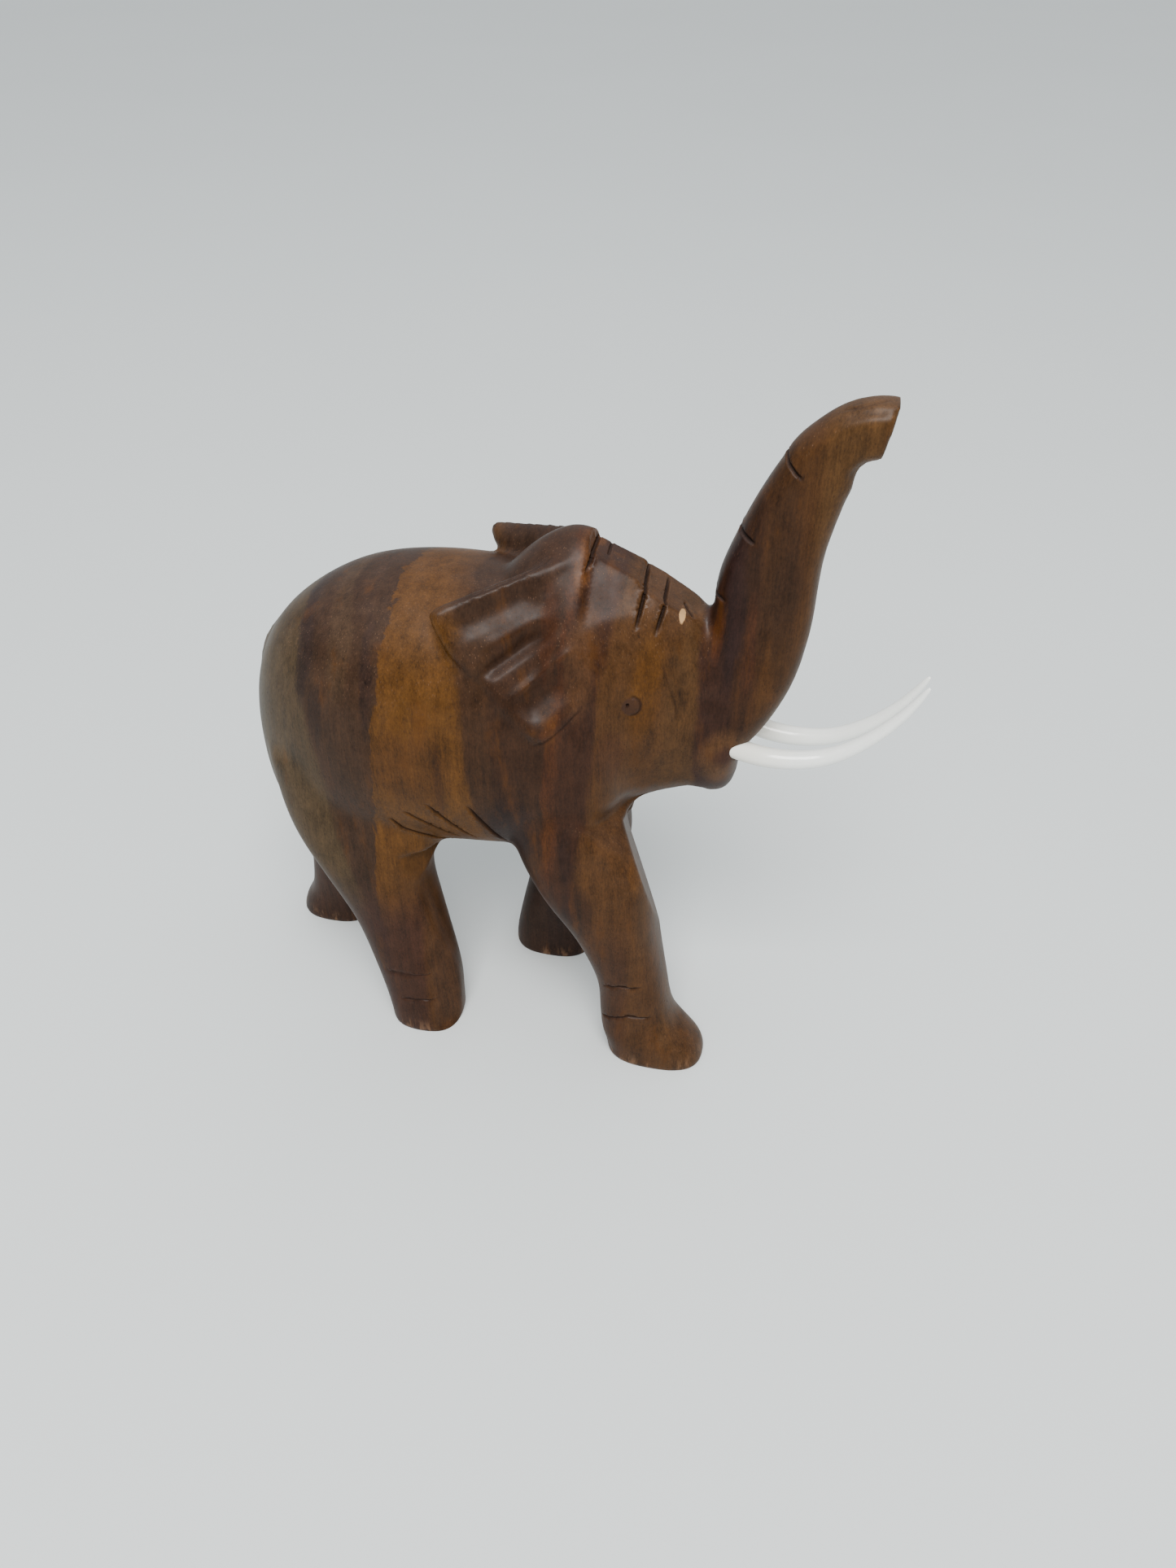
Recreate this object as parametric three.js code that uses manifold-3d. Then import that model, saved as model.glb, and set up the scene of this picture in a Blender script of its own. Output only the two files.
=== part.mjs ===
// Carved wooden elephant, striding, trunk raised, with two set-in tusks.
// Millimetres, +Z up, +X towards the head, +Y to the animal's left.
// One block of wood makes body, legs, head, ears and trunk; each tusk is a
// plastic peg glued into a blind socket beside the trunk.
import * as THREE from 'three';
import { LoftGeometry } from 'three/addons/geometries/LoftGeometry.js';
import { mergeVertices } from 'three/addons/utils/BufferGeometryUtils.js';
import Module from 'manifold-3d';

const wasm = await Module();
wasm.setup();

// ---- driving dimensions --------------------------------------------------
const FIT = 0.3;             // air between touching pieces
const BARREL_SIDES = 40;
const LEG_SIDES = 24;
const HEAD_SIDES = 28;
const TRUNK_SIDES = 22;
const BARREL_SQUARE = 2.25;  // 2 is an ellipse, larger is squarer
const LEG_SQUARE = 2.7;
const TRUNK_SQUARE = 2.5;

// Barrel, cut across x: x, top z, underside z, half width
const BARREL = [
  [-51.8, 89, 72, 3.5],
  [-51, 96, 65, 7],
  [-48, 105, 57.5, 12],
  [-42.4, 114, 54, 17],
  [-33, 121.8, 54, 22],
  [-22, 127, 56, 25.6],
  [-8, 129.5, 58, 26.8],
  [8, 129.6, 59, 26],
  [22, 127, 60, 24],
  [32, 121, 59.5, 21],
  [37.2, 112, 60, 16],
  [39.8, 102, 66, 9],
];

// Legs, cut across z: z, rear x, front x, inner y, outer y
const NEAR_HIND = [
  [-4, -22, -3.2, 8, 25.5],
  [4, -22.3, -3, 8, 25.5],
  [16, -24.8, -3.4, 7, 24.5],
  [34, -29.6, -6.8, 5, 23.5],
  [48, -35.6, -9.2, 3, 24],
  [56, -39.6, -7.8, 3, 24],
  [62, -42.4, -5, 3, 23.6],
  [70, -44.6, -4.5, 2, 23],
  [84, -46.5, -12, 2, 21],
];
const NEAR_FRONT = [
  [-4, 37.5, 62.8, 8, 25],
  [3, 37, 62.5, 8, 25],
  [8, 35.6, 58.8, 8, 24.8],
  [14, 35, 54, 7.5, 24],
  [26, 33.8, 51.4, 6, 23.5],
  [40, 28, 48.8, 3, 24],
  [52, 20, 47.6, 1, 24.6],
  [61, 15.5, 46.4, 0, 24.6],
  [68, 13.5, 43.2, 0, 24.2],
  [76, 13.5, 37.5, 1, 23.2],
  [88, 16, 30, 2, 20.5],
];
const FAR_HIND = [
  [-4, -61.8, -40, 8, 25.5],
  [3, -61, -40, 8, 25.5],
  [10, -57.5, -38.5, 8, 25],
  [20, -55.5, -36, 7, 24],
  [36, -53.5, -30, 5, 23.5],
  [52, -50, -22, 3, 24],
  [68, -48, -16, 2, 24],
  [84, -46, -14, 2, 21],
];
const FAR_FRONT = [
  [-4, 4, 26, 8, 25],
  [4, 4.2, 26.5, 8, 25],
  [14, 6, 27.5, 8, 24.5],
  [28, 9, 31, 7.5, 24],
  [44, 12, 36.5, 6, 24],
  [60, 13, 35.5, 3, 24],
  [84, 15, 34, 2, 21],
];

// Head, cut across x: x, top z, top half width, widest z, half width,
// underside z, underside half width
const HEAD = [
  [4, 120, 5, 106, 14, 78, 8],
  [12, 130, 6, 110, 18, 70, 12],
  [20, 136.6, 6, 112, 19.5, 66, 12],
  [27, 138.6, 6, 112, 19.5, 66, 11],
  [34, 135.2, 6, 109, 18, 71, 9.5],
  [41, 131.8, 6, 107, 15.5, 77.4, 7.5],
  [47, 127.8, 6, 104, 13.5, 80.2, 6.5],
  [52, 124.2, 6, 100, 12, 81.2, 6],
  [57, 116, 5.5, 97, 10.6, 80.4, 5],
  [60.6, 101, 5, 93.5, 9.6, 80, 3.6],
  [62.6, 96.5, 4.6, 92.5, 7.8, 82.5, 2.6],
  [63.4, 95, 3, 91.5, 5, 86, 2],
];

// Trunk spine: x, z, half depth, half width
const TRUNK = [
  [53, 90, 7, 6],
  [58, 99.5, 9.6, 8.6],
  [63.2, 112, 10.2, 8.4],
  [65.6, 124, 10, 7.8],
  [66.2, 133, 9.8, 7.3],
  [67.9, 142, 8.6, 6.8],
  [70.4, 150, 7.6, 6.3],
  [73.4, 158, 6.7, 5.8],
  [77.3, 164.6, 5.9, 5.4],
  [81.8, 167.7, 5.8, 5.2],
  [89, 168.4, 5.7, 5],
];

const TRUNK_TIP = [85.2, 0, 168.6];
const TRUNK_TIP_LEAN = 11;   // degrees, upper lip ahead of the lower

// Tail in low relief down the middle of the rump: x, z, radius
const TAIL = [
  [-40.5, 114, 1.2],
  [-47, 104.6, 2.1],
  [-50.2, 94, 2],
  [-51, 82, 1.8],
  [-50.4, 72, 1.7],
  [-48, 63.5, 2.3],
  [-45.6, 58.5, 1],
];

// Ear: corner points of the outer face, then its outline in that face
const EAR_TOP_FRONT = [27, 6, 139.4];
const EAR_TOP_REAR = { right: [-1, 19.6, 130], left: [2.4, 19, 131.4] };
const EAR_BOTTOM = [24.4, 24.6, 103.6];
const EAR_THICK = 8;
const EAR_EDGE = 1.2;

// Tusk centre line from the socket floor to the tip, for the left side
const TUSK_PATH = [
  [50.5, 6.3, 101],
  [56.5, 6.1, 97.2],
  [62.1, 5.8, 94.5],
  [69.5, 5, 92.3],
  [77, 4.4, 92.2],
  [84, 3.7, 94.1],
  [91, 3, 98.9],
  [97.5, 2.4, 106],
  [102.5, 2.1, 114.4],
];
const TUSK_RADIUS = 2.4;
const SOCKET_REACH = 0.17;   // share of the path inside the wood
const GLUE_LENGTH = 3;

const EYE = [39.3, 14.2, 108.3];
const EYE_RADIUS = 2.1;

// ---- helpers -------------------------------------------------------------
// Smooth rows between the stations, first column as parameter.
function between(stations, steps) {
  const width = stations[0].length - 1;
  const at = stations.map((row) => row[0]);
  const curve = new THREE.CubicInterpolant(at, stations.flatMap((row) => row.slice(1)), width);
  const rows = [];
  for (let i = 0; i < at.length - 1; i++) {
    for (let k = 0; k < steps; k++) {
      const t = THREE.MathUtils.lerp(at[i], at[i + 1], k / steps);
      rows.push([t, ...curve.evaluate(t)]);
    }
  }
  rows.push([...stations.at(-1)]);
  return rows;
}

function superPoint(i, sides, square) {
  const a = (i / sides) * Math.PI * 2;
  const c = Math.cos(a);
  const s = Math.sin(a);
  return [
    Math.sign(c) * Math.abs(c) ** (2 / square),
    Math.sign(s) * Math.abs(s) ** (2 / square),
  ];
}

function toSolid(geometry) {
  const bare = geometry.index ? geometry.toNonIndexed() : geometry.clone();
  for (const name of Object.keys(bare.attributes)) {
    if (name !== 'position') bare.deleteAttribute(name);
  }
  const merged = mergeVertices(bare, 1e-4);
  return new wasm.Manifold(new wasm.Mesh({
    numProp: 3,
    vertProperties: new Float32Array(merged.attributes.position.array),
    triVerts: new Uint32Array(merged.index.array),
  }));
}

// Skin over rings. The walls face outwards only if each ring turns
// counterclockwise as seen from the far end, so the order is settled first.
function skin(rings) {
  const middleOf = (ring) => ring.reduce(
    (sum, p) => sum.add(p), new THREE.Vector3()).divideScalar(ring.length);
  const start = middleOf(rings[0]);
  const along = middleOf(rings[1]).sub(start);
  const turn = new THREE.Vector3();
  rings[0].forEach((p, i) => {
    const q = rings[0][(i + 1) % rings[0].length];
    turn.add(p.clone().sub(start).cross(q.clone().sub(start)));
  });
  const ordered = turn.dot(along) > 0 ? rings : rings.map((ring) => [...ring].reverse());
  return toSolid(new LoftGeometry(ordered, { capStart: true, capEnd: true }));
}

function barrel(stations) {
  return skin(between(stations, 2).map(([x, top, bottom, half]) => {
    const ring = [];
    for (let i = 0; i < BARREL_SIDES; i++) {
      const [u, v] = superPoint(i, BARREL_SIDES, BARREL_SQUARE);
      const z = (top + bottom) / 2 + (v * (top - bottom)) / 2;
      ring.push(new THREE.Vector3(x, u * half, z));
    }
    return ring;
  }));
}

// side is -1 for the right legs and +1 for the left ones
function leg(stations, side) {
  return skin(between(stations, 2).map(([z, rear, front, inner, outer]) => {
    const ring = [];
    for (let i = 0; i < LEG_SIDES; i++) {
      const [u, v] = superPoint(i, LEG_SIDES, LEG_SQUARE);
      const x = (rear + front) / 2 + (u * (front - rear)) / 2;
      const y = (inner + outer) / 2 + (v * (outer - inner)) / 2;
      ring.push(new THREE.Vector3(x, side * y, z));
    }
    return ring;
  }));
}

function head(stations) {
  return skin(between(stations, 2).map(([x, top, topHalf, wideZ, half, bottom, bottomHalf]) => {
    const corners = [
      [topHalf, top], [half, wideZ], [bottomHalf, bottom],
      [-bottomHalf, bottom], [-half, wideZ], [-topHalf, top],
    ];
    const outline = new THREE.CatmullRomCurve3(
      corners.map(([y, z]) => new THREE.Vector3(x, y, z)), true);
    return outline.getSpacedPoints(HEAD_SIDES).slice(0, HEAD_SIDES);
  }));
}

function trunk(stations) {
  const spine = new THREE.CatmullRomCurve3(
    stations.map(([x, z]) => new THREE.Vector3(x, 0, z)));
  const sizes = new THREE.CubicInterpolant(
    stations.map((row, i) => i), stations.flatMap((row) => row.slice(2)), 2);
  const last = stations.length - 1;
  const rings = [];
  for (let k = 0; k <= last * 3; k++) {
    const centre = spine.getPoint(k / (last * 3));
    const along = spine.getTangent(k / (last * 3));
    const [depth, half] = sizes.evaluate(k / 3);
    const ring = [];
    for (let i = 0; i < TRUNK_SIDES; i++) {
      const [u, v] = superPoint(i, TRUNK_SIDES, TRUNK_SQUARE);
      ring.push(new THREE.Vector3(
        centre.x - along.z * u * depth, v * half, centre.z + along.x * u * depth));
    }
    rings.push(ring);
  }
  const nose = new THREE.BoxGeometry(60, 60, 60);
  nose.translate(30, 0, 0);
  nose.rotateY(THREE.MathUtils.degToRad(TRUNK_TIP_LEAN));
  nose.translate(...TRUNK_TIP);
  return skin(rings).subtract(toSolid(nose));
}

function ear(name) {
  const rear = new THREE.Vector3(...EAR_TOP_REAR[name]);
  const along = new THREE.Vector3(...EAR_TOP_FRONT).sub(rear);
  const down = new THREE.Vector3(...EAR_BOTTOM).sub(rear);
  const length = along.length();
  const u = along.clone().normalize();
  const outward = new THREE.Vector3().crossVectors(down, along).normalize();
  if (outward.y < 0) outward.negate();
  const v = new THREE.Vector3().crossVectors(outward, u).normalize();
  if (v.z < 0) v.negate();
  const drop = -down.dot(v);
  const low = down.dot(u);
  const shape = new THREE.Shape();
  shape.moveTo(1, 0);
  shape.lineTo(0.96 * length, 0);
  shape.lineTo(length, -2.5);
  shape.lineTo(0.95 * length, -0.45 * drop);
  shape.lineTo(0.8 * length, -0.72 * drop);
  shape.lineTo(0.58 * length, -0.88 * drop);
  shape.quadraticCurveTo(low + 3, -1.04 * drop, low - 3, -0.93 * drop);
  shape.lineTo(0.05 * length, -0.72 * drop);
  shape.lineTo(0.06 * length, -0.48 * drop);
  shape.lineTo(-0.03 * length, -0.32 * drop);
  shape.quadraticCurveTo(-1.6, 0, 1, 0);
  const geometry = new THREE.ExtrudeGeometry(shape, {
    depth: EAR_THICK, curveSegments: 5, bevelEnabled: true,
    bevelSize: EAR_EDGE, bevelThickness: EAR_EDGE, bevelOffset: -EAR_EDGE, bevelSegments: 2,
  });
  geometry.translate(0, 0, -EAR_THICK - EAR_EDGE);
  geometry.applyMatrix4(new THREE.Matrix4().makeBasis(u, v, outward).setPosition(rear));
  const facing = new THREE.Vector3().crossVectors(u, v).dot(outward);
  if (facing < 0) flip(geometry);
  if (name === 'right') {
    geometry.applyMatrix4(new THREE.Matrix4().makeScale(1, -1, 1));
    flip(geometry);
  }
  return toSolid(geometry);
}

function flip(geometry) {
  const p = geometry.attributes.position;
  for (let i = 0; i < p.count; i += 3) {
    const a = new THREE.Vector3().fromBufferAttribute(p, i);
    const b = new THREE.Vector3().fromBufferAttribute(p, i + 1);
    p.setXYZ(i, b.x, b.y, b.z);
    p.setXYZ(i + 1, a.x, a.y, a.z);
  }
}

function tail(stations) {
  const spine = new THREE.CatmullRomCurve3(
    stations.map(([x, z]) => new THREE.Vector3(x, 0, z)));
  const last = stations.length - 1;
  const rings = [];
  for (let k = 0; k <= last * 2; k++) {
    const centre = spine.getPoint(k / (last * 2));
    const along = spine.getTangent(k / (last * 2));
    const low = Math.floor(k / 2);
    const radius = (stations[low][2] + stations[Math.ceil(k / 2)][2]) / 2;
    const ring = [];
    for (let i = 0; i < 12; i++) {
      const a = (i / 12) * Math.PI * 2;
      ring.push(new THREE.Vector3(
        centre.x - along.z * radius * Math.cos(a),
        radius * 1.1 * Math.sin(a),
        centre.z + along.x * radius * Math.cos(a)));
    }
    rings.push(ring);
  }
  return skin(rings);
}

// Round rod along a stretch of the tusk path; radiusAt gives its radius.
function rod(side, from, to, rings, radiusAt) {
  const path = new THREE.CatmullRomCurve3(
    TUSK_PATH.map(([x, y, z]) => new THREE.Vector3(x, side * y, z)));
  const list = [];
  for (let k = 0; k <= rings; k++) {
    const t = THREE.MathUtils.lerp(from, to, k / rings);
    const centre = path.getPointAt(t);
    const along = path.getTangentAt(t);
    const across = new THREE.Vector3(0, 1, 0).cross(along).normalize();
    const other = new THREE.Vector3().crossVectors(along, across);
    const ring = [];
    for (let i = 0; i < 16; i++) {
      const a = (i / 16) * Math.PI * 2;
      ring.push(centre.clone()
        .addScaledVector(across, radiusAt(t) * Math.cos(a))
        .addScaledVector(other, radiusAt(t) * Math.sin(a)));
    }
    list.push(ring);
  }
  return skin(list);
}

function tuskRadius(t) {
  const taper = THREE.MathUtils.clamp((t - 0.25) / 0.75, 0, 1);
  return Math.max(0.35, TUSK_RADIUS * Math.sqrt(1 - taper ** 1.6 * 0.985));
}

function pathLength() {
  return new THREE.CatmullRomCurve3(
    TUSK_PATH.map((p) => new THREE.Vector3(...p))).getLength();
}

// ---- pieces --------------------------------------------------------------
const glueShare = GLUE_LENGTH / pathLength();
const gapShare = FIT / pathLength();
const tusks = {};
const glues = {};
const sockets = [];
for (const [name, side] of [['left', 1], ['right', -1]]) {
  const start = glueShare + 2 * gapShare;
  tusks[name] = rod(side, start, 1, 36, tuskRadius);
  glues[name] = rod(side, gapShare, gapShare + glueShare, 2, () => TUSK_RADIUS - 0.2);
  sockets.push(rod(side, 0, SOCKET_REACH + 0.12, 10, () => TUSK_RADIUS + FIT));
}

const eyes = [-1, 1].map((side) => {
  const ball = new THREE.SphereGeometry(EYE_RADIUS, 16, 10);
  ball.scale(1, 0.55, 1);
  ball.translate(EYE[0], side * EYE[1], EYE[2]);
  return toSolid(ball);
});

let wood = barrel(BARREL)
  .add(leg(NEAR_HIND, -1))
  .add(leg(NEAR_FRONT, -1))
  .add(leg(FAR_HIND, 1))
  .add(leg(FAR_FRONT, 1))
  .add(head(HEAD))
  .add(trunk(TRUNK))
  .add(tail(TAIL))
  .add(ear('left'))
  .add(ear('right'));
for (const eye of eyes) wood = wood.add(eye);
for (const socket of sockets) wood = wood.subtract(socket);
const above = new THREE.BoxGeometry(400, 200, 300);
above.translate(0, 0, 150);
wood = wood.intersect(toSolid(above));

// ---- scene ---------------------------------------------------------------
function toMesh(solid, name, material) {
  const data = solid.getMesh();
  const geometry = new THREE.BufferGeometry();
  geometry.setAttribute('position', new THREE.BufferAttribute(
    new Float32Array(data.vertProperties), 3));
  geometry.setIndex(new THREE.BufferAttribute(new Uint32Array(data.triVerts), 1));
  geometry.computeVertexNormals();
  const mesh = new THREE.Mesh(geometry, new THREE.MeshStandardMaterial({ name, ...material }));
  mesh.name = name;
  return mesh;
}

const WOOD = { color: 0x6b3f22, roughness: 0.42, metalness: 0 };
const IVORY_PLASTIC = { color: 0xf1efe8, roughness: 0.22, metalness: 0 };
const GLUE = { color: 0xc9a46a, roughness: 0.4, metalness: 0 };

const elephant = new THREE.Group();
elephant.name = 'carved_elephant';
elephant.add(toMesh(wood, 'carved_body', WOOD));
for (const name of ['right', 'left']) {
  elephant.add(toMesh(tusks[name], `tusk_${name}`, IVORY_PLASTIC));
  elephant.add(toMesh(glues[name], `glue_${name}`, GLUE));
}

// Centre of the whole footprint to x = y = 0, soles on z = 0.
const box = new THREE.Box3().setFromObject(elephant);
const middle = box.getCenter(new THREE.Vector3());
elephant.traverse((item) => {
  if (item.isMesh) item.geometry.translate(-middle.x, -middle.y, -box.min.z);
});

export default elephant;
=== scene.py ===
"""Carved wooden elephant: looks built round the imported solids.

The block of wood is lofted limb by limb, welded into one skin, then carved:
ear flutes, brow and leg facets, knife cuts, eye and tail. The tusks are
glossy pegs standing in drilled sockets with a little glue round each.
"""
import math

import bmesh
import bpy
from bpy.props import FloatProperty, FloatVectorProperty, IntProperty, PointerProperty
from bpy.types import Operator, Panel, PropertyGroup
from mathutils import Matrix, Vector
from mathutils.bvhtree import BVHTree
from mathutils.kdtree import KDTree


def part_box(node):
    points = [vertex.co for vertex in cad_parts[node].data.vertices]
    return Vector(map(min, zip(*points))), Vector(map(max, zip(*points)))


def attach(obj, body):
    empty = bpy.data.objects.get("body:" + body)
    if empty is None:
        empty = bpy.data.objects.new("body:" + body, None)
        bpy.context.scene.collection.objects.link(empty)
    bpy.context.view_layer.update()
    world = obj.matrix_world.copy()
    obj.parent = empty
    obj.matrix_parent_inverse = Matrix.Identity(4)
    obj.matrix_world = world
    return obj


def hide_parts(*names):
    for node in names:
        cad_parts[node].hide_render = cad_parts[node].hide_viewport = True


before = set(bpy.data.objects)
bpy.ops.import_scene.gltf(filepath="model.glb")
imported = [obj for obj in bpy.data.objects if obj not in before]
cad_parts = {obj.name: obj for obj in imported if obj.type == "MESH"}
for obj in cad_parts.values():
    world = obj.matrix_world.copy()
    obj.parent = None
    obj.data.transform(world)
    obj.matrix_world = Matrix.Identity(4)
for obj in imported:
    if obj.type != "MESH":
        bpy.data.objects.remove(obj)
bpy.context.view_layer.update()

bl_info = {
    "name": "Carved elephant",
    "version": (1, 0, 0),
    "blender": (4, 5, 0),
    "location": "3D View > Sidebar > Carving",
    "description": "Carves the wooden elephant and sets its tusks and stage",
    "category": "Add Mesh",
}

MM = 0.001
# The station tables below count x from the middle of the shoulders. This is
# where that point lies in the frame: the left heel is the hindmost wood.
HEEL_X = -62.16
SHIFT_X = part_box("carved_body")[0].x / MM - HEEL_X


# ---- station tables, millimetres ------------------------------------------
# Barrel, cut across x: x, top z, underside z, half width
BARREL = (
    (-51.8, 89, 72, 3.5),
    (-51, 96, 65, 7),
    (-48, 105, 57.5, 12),
    (-42.4, 114, 54, 17),
    (-33, 121.8, 54, 22),
    (-22, 127, 56, 25.6),
    (-8, 129.5, 58, 26.7),
    (8, 129.6, 59, 26),
    (22, 127, 60, 24),
    (32, 121, 59.5, 21),
    (37.2, 112, 60, 16),
    (39.8, 102, 66, 9),
)
# Legs, cut across z: z, rear x, front x, inner y, outer y
LEGS = {
    "near_hind": (-1, (
        (-4, -22, -3.2, 8, 25.5),
        (4, -22.3, -3, 8, 25.5),
        (16, -24.8, -3.4, 7, 24.5),
        (34, -29.6, -6.8, 5, 23.5),
        (48, -35.6, -9.2, 3, 24),
        (56, -39.6, -7.8, 3, 24),
        (62, -42.4, -5, 3, 23.6),
        (70, -44.6, -4.5, 2, 23),
        (84, -46.5, -12, 2, 21),
    )),
    "near_front": (-1, (
        (-4, 37.5, 62.8, 8, 25),
        (3, 37, 62.5, 8, 25),
        (8, 35.6, 58.8, 8, 24.8),
        (14, 35, 54, 7.5, 24),
        (26, 33.8, 51.4, 6, 23.5),
        (40, 28, 48.8, 3, 24),
        (52, 20, 47.6, 1, 24.6),
        (61, 15.5, 46.4, 0, 24.6),
        (68, 13.5, 43.2, 0, 24.2),
        (76, 13.5, 37.5, 1, 23.2),
        (88, 16, 30, 2, 20.5),
    )),
    "far_hind": (1, (
        (-4, -61.8, -40, 8, 25.5),
        (3, -61, -40, 8, 25.5),
        (10, -57.5, -38.5, 8, 25),
        (20, -55.5, -36, 7, 24),
        (36, -53.5, -30, 5, 23.5),
        (52, -50, -22, 3, 24),
        (68, -48, -16, 2, 24),
        (84, -46, -14, 2, 21),
    )),
    "far_front": (1, (
        (-4, 4, 26, 8, 25),
        (4, 4.2, 26.5, 8, 25),
        (14, 6, 27.5, 8, 24.5),
        (28, 9, 31, 7.5, 24),
        (44, 12, 36.5, 6, 24),
        (60, 13, 35.5, 3, 24),
        (84, 15, 34, 2, 21),
    )),
}
# Head, cut across x: x, top z, top half width, widest z, half width,
# underside z, underside half width
HEAD = (
    (4, 120, 5, 106, 14, 78, 8),
    (12, 130, 6, 110, 18, 70, 12),
    (20, 136.6, 6, 112, 19.5, 66, 12),
    (27, 138.6, 6, 112, 19.5, 66, 11),
    (34, 135.2, 6, 109, 18, 71, 9.5),
    (41, 131.8, 6, 107, 15.5, 77.4, 7.5),
    (47, 127.8, 6, 104, 13.5, 80.2, 6.5),
    (52, 124.2, 6, 100, 12, 81.2, 6),
    (57, 116, 5.5, 97, 10.6, 80.4, 5),
    (60.6, 101, 5, 93.5, 9.6, 80, 3.6),
    (62.6, 96.5, 4.6, 92.5, 7.8, 82.5, 2.6),
    (63.4, 95, 3, 91.5, 5, 86, 2),
)
# Trunk spine: x, z, half depth, half width
TRUNK = (
    (53, 90, 7, 6),
    (58, 99.5, 9.6, 8.6),
    (63.1, 112, 10.4, 8.4),
    (65.3, 124, 10.4, 7.8),
    (65.7, 133, 10.4, 7.3),
    (67.4, 142.2, 9.2, 6.8),
    (69.8, 150.4, 8.3, 6.3),
    (72.9, 158.4, 7.3, 5.8),
    (77, 164.9, 6.2, 5.4),
    (81.8, 167.8, 5.9, 5.2),
    (89, 168.4, 5.7, 5),
)
# Foot of the crisp shell over its tip, and where and how the tip is sawn
TRUNK_TIP_FOOT = (69.6, 148, 5, 4)
TRUNK_TIP = (85.2, 0, 168.6)
TRUNK_TIP_LEAN = math.radians(11)
# Tail down the middle of the rump: x, z, radius
TAIL = (
    (-40.5, 114, 1.2),
    (-47, 104.6, 2.1),
    (-50.2, 94, 2),
    (-51, 82, 1.8),
    (-50.4, 72, 1.7),
    (-48, 63.5, 2.3),
    (-45.6, 58.5, 1),
)
# Ear outer face: two ends of its top edge and its lowest point
EAR_TOP_FRONT = (27, 6, 139.4)
EAR_TOP_REAR = {-1: (-1, 19.6, 130), 1: (2.4, 19, 131.4)}
EAR_BOTTOM = (24.4, 24.6, 103.6)
# Outline in that face: along the top edge from its rear end, and up
EAR_OUTLINE = (
    (-0.9, -2.2), (-0.4, -0.7), (1, 0), (30.8, 0), (32.3, -2.4), (31, -15),
    (26.5, -24.5), (22.4, -29.6), (18.5, -32.2), (15, -33.9), (11.8, -34.8),
    (9.6, -33.8), (7.8, -30.6), (5, -24), (4.3, -18.4), (2.4, -15.2),
    (0.6, -11.5), (-0.5, -7),
)
# The outline again behind that face: how far out, how far drawn to the middle
EAR_LEVELS = ((0, 0.05), (-0.7, 0.015), (-1.7, 0), (-4, 0.06), (-9, 0.4))
EAR_MIDDLE = (24, -14)
# Left tusk, from the floor of its socket to its tip
TUSK_PATH = (
    (50.5, 6.3, 101),
    (56.5, 6.1, 97.2),
    (62.1, 5.8, 94.5),
    (69.5, 5, 92.3),
    (77, 4.4, 92.2),
    (84, 3.7, 94.1),
    (91, 3, 98.9),
    (97.3, 2.4, 106),
    (101.7, 2.1, 113.7),
)


# ---- small geometry helpers -------------------------------------------------
def between(stations, steps):
    """Rows between stations on a smooth curve through them (Catmull-Rom)."""
    rows = []
    last = len(stations) - 1
    for i in range(last):
        a, b = stations[max(i - 1, 0)], stations[i]
        c, d = stations[i + 1], stations[min(i + 2, last)]
        for k in range(steps):
            t = k / steps
            row = []
            for p0, p1, p2, p3 in zip(a, b, c, d):
                m1 = (p2 - p0) / 2
                m2 = (p3 - p1) / 2
                row.append(
                    p1 * (2 * t**3 - 3 * t**2 + 1) + m1 * (t**3 - 2 * t**2 + t)
                    + p2 * (3 * t**2 - 2 * t**3) + m2 * (t**3 - t**2)
                )
            rows.append(tuple(row))
    rows.append(tuple(stations[last]))
    return rows


def place(x, y, z):
    """A point of the tables as a point of the frame, in metres."""
    return Vector(((x + SHIFT_X) * MM, y * MM, z * MM))


def super_point(share, square):
    """Point of a unit squarish oval at this share of a turn."""
    c, s = math.cos(share * math.tau), math.sin(share * math.tau)
    return (
        math.copysign(abs(c) ** (2 / square), c),
        math.copysign(abs(s) ** (2 / square), s),
    )


def loft(bm, rings):
    """Closed tube through the rings: a capped circle extruded ring by ring."""
    made = bmesh.ops.create_circle(bm, cap_ends=True, segments=len(rings[0]), radius=MM)
    verts = made["verts"]
    cap = verts[0].link_faces[0]
    for vert, spot in zip(cap.verts, rings[0]):
        vert.co = spot
    keep = True
    for ring in rings[1:]:
        grown = bmesh.ops.extrude_face_region(
            bm, geom=[cap, *cap.edges], use_keep_orig=keep)
        keep = False
        cap = next(g for g in grown["geom"] if isinstance(g, bmesh.types.BMFace))
        for vert, spot in zip(cap.verts, ring):
            vert.co = spot


def barrel_rings():
    for x, top, bottom, half in between(BARREL, 4):
        yield [
            place(x, u * half, (top + bottom) / 2 + v * (top - bottom) / 2)
            for u, v in (super_point(i / 64, 2.25) for i in range(64))
        ]


def leg_rings(side, stations):
    for z, rear, front, inner, outer in between(stations, 4):
        yield [
            place(
                (rear + front) / 2 + u * (front - rear) / 2,
                side * ((inner + outer) / 2 + v * (outer - inner) / 2),
                z,
            )
            for u, v in (super_point(i / 40, 2.7) for i in range(40))
        ]


def head_rings():
    for x, top, top_half, wide_z, half, bottom, bottom_half in between(HEAD, 4):
        corners = [
            (top_half, top), (half, wide_z), (bottom_half, bottom),
            (-bottom_half, bottom), (-half, wide_z), (-top_half, top),
        ]
        closed = corners[-1:] + corners + corners[:2]
        outline = between(closed, 8)[8:56]
        yield [place(x, y, z) for y, z in outline]


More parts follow.
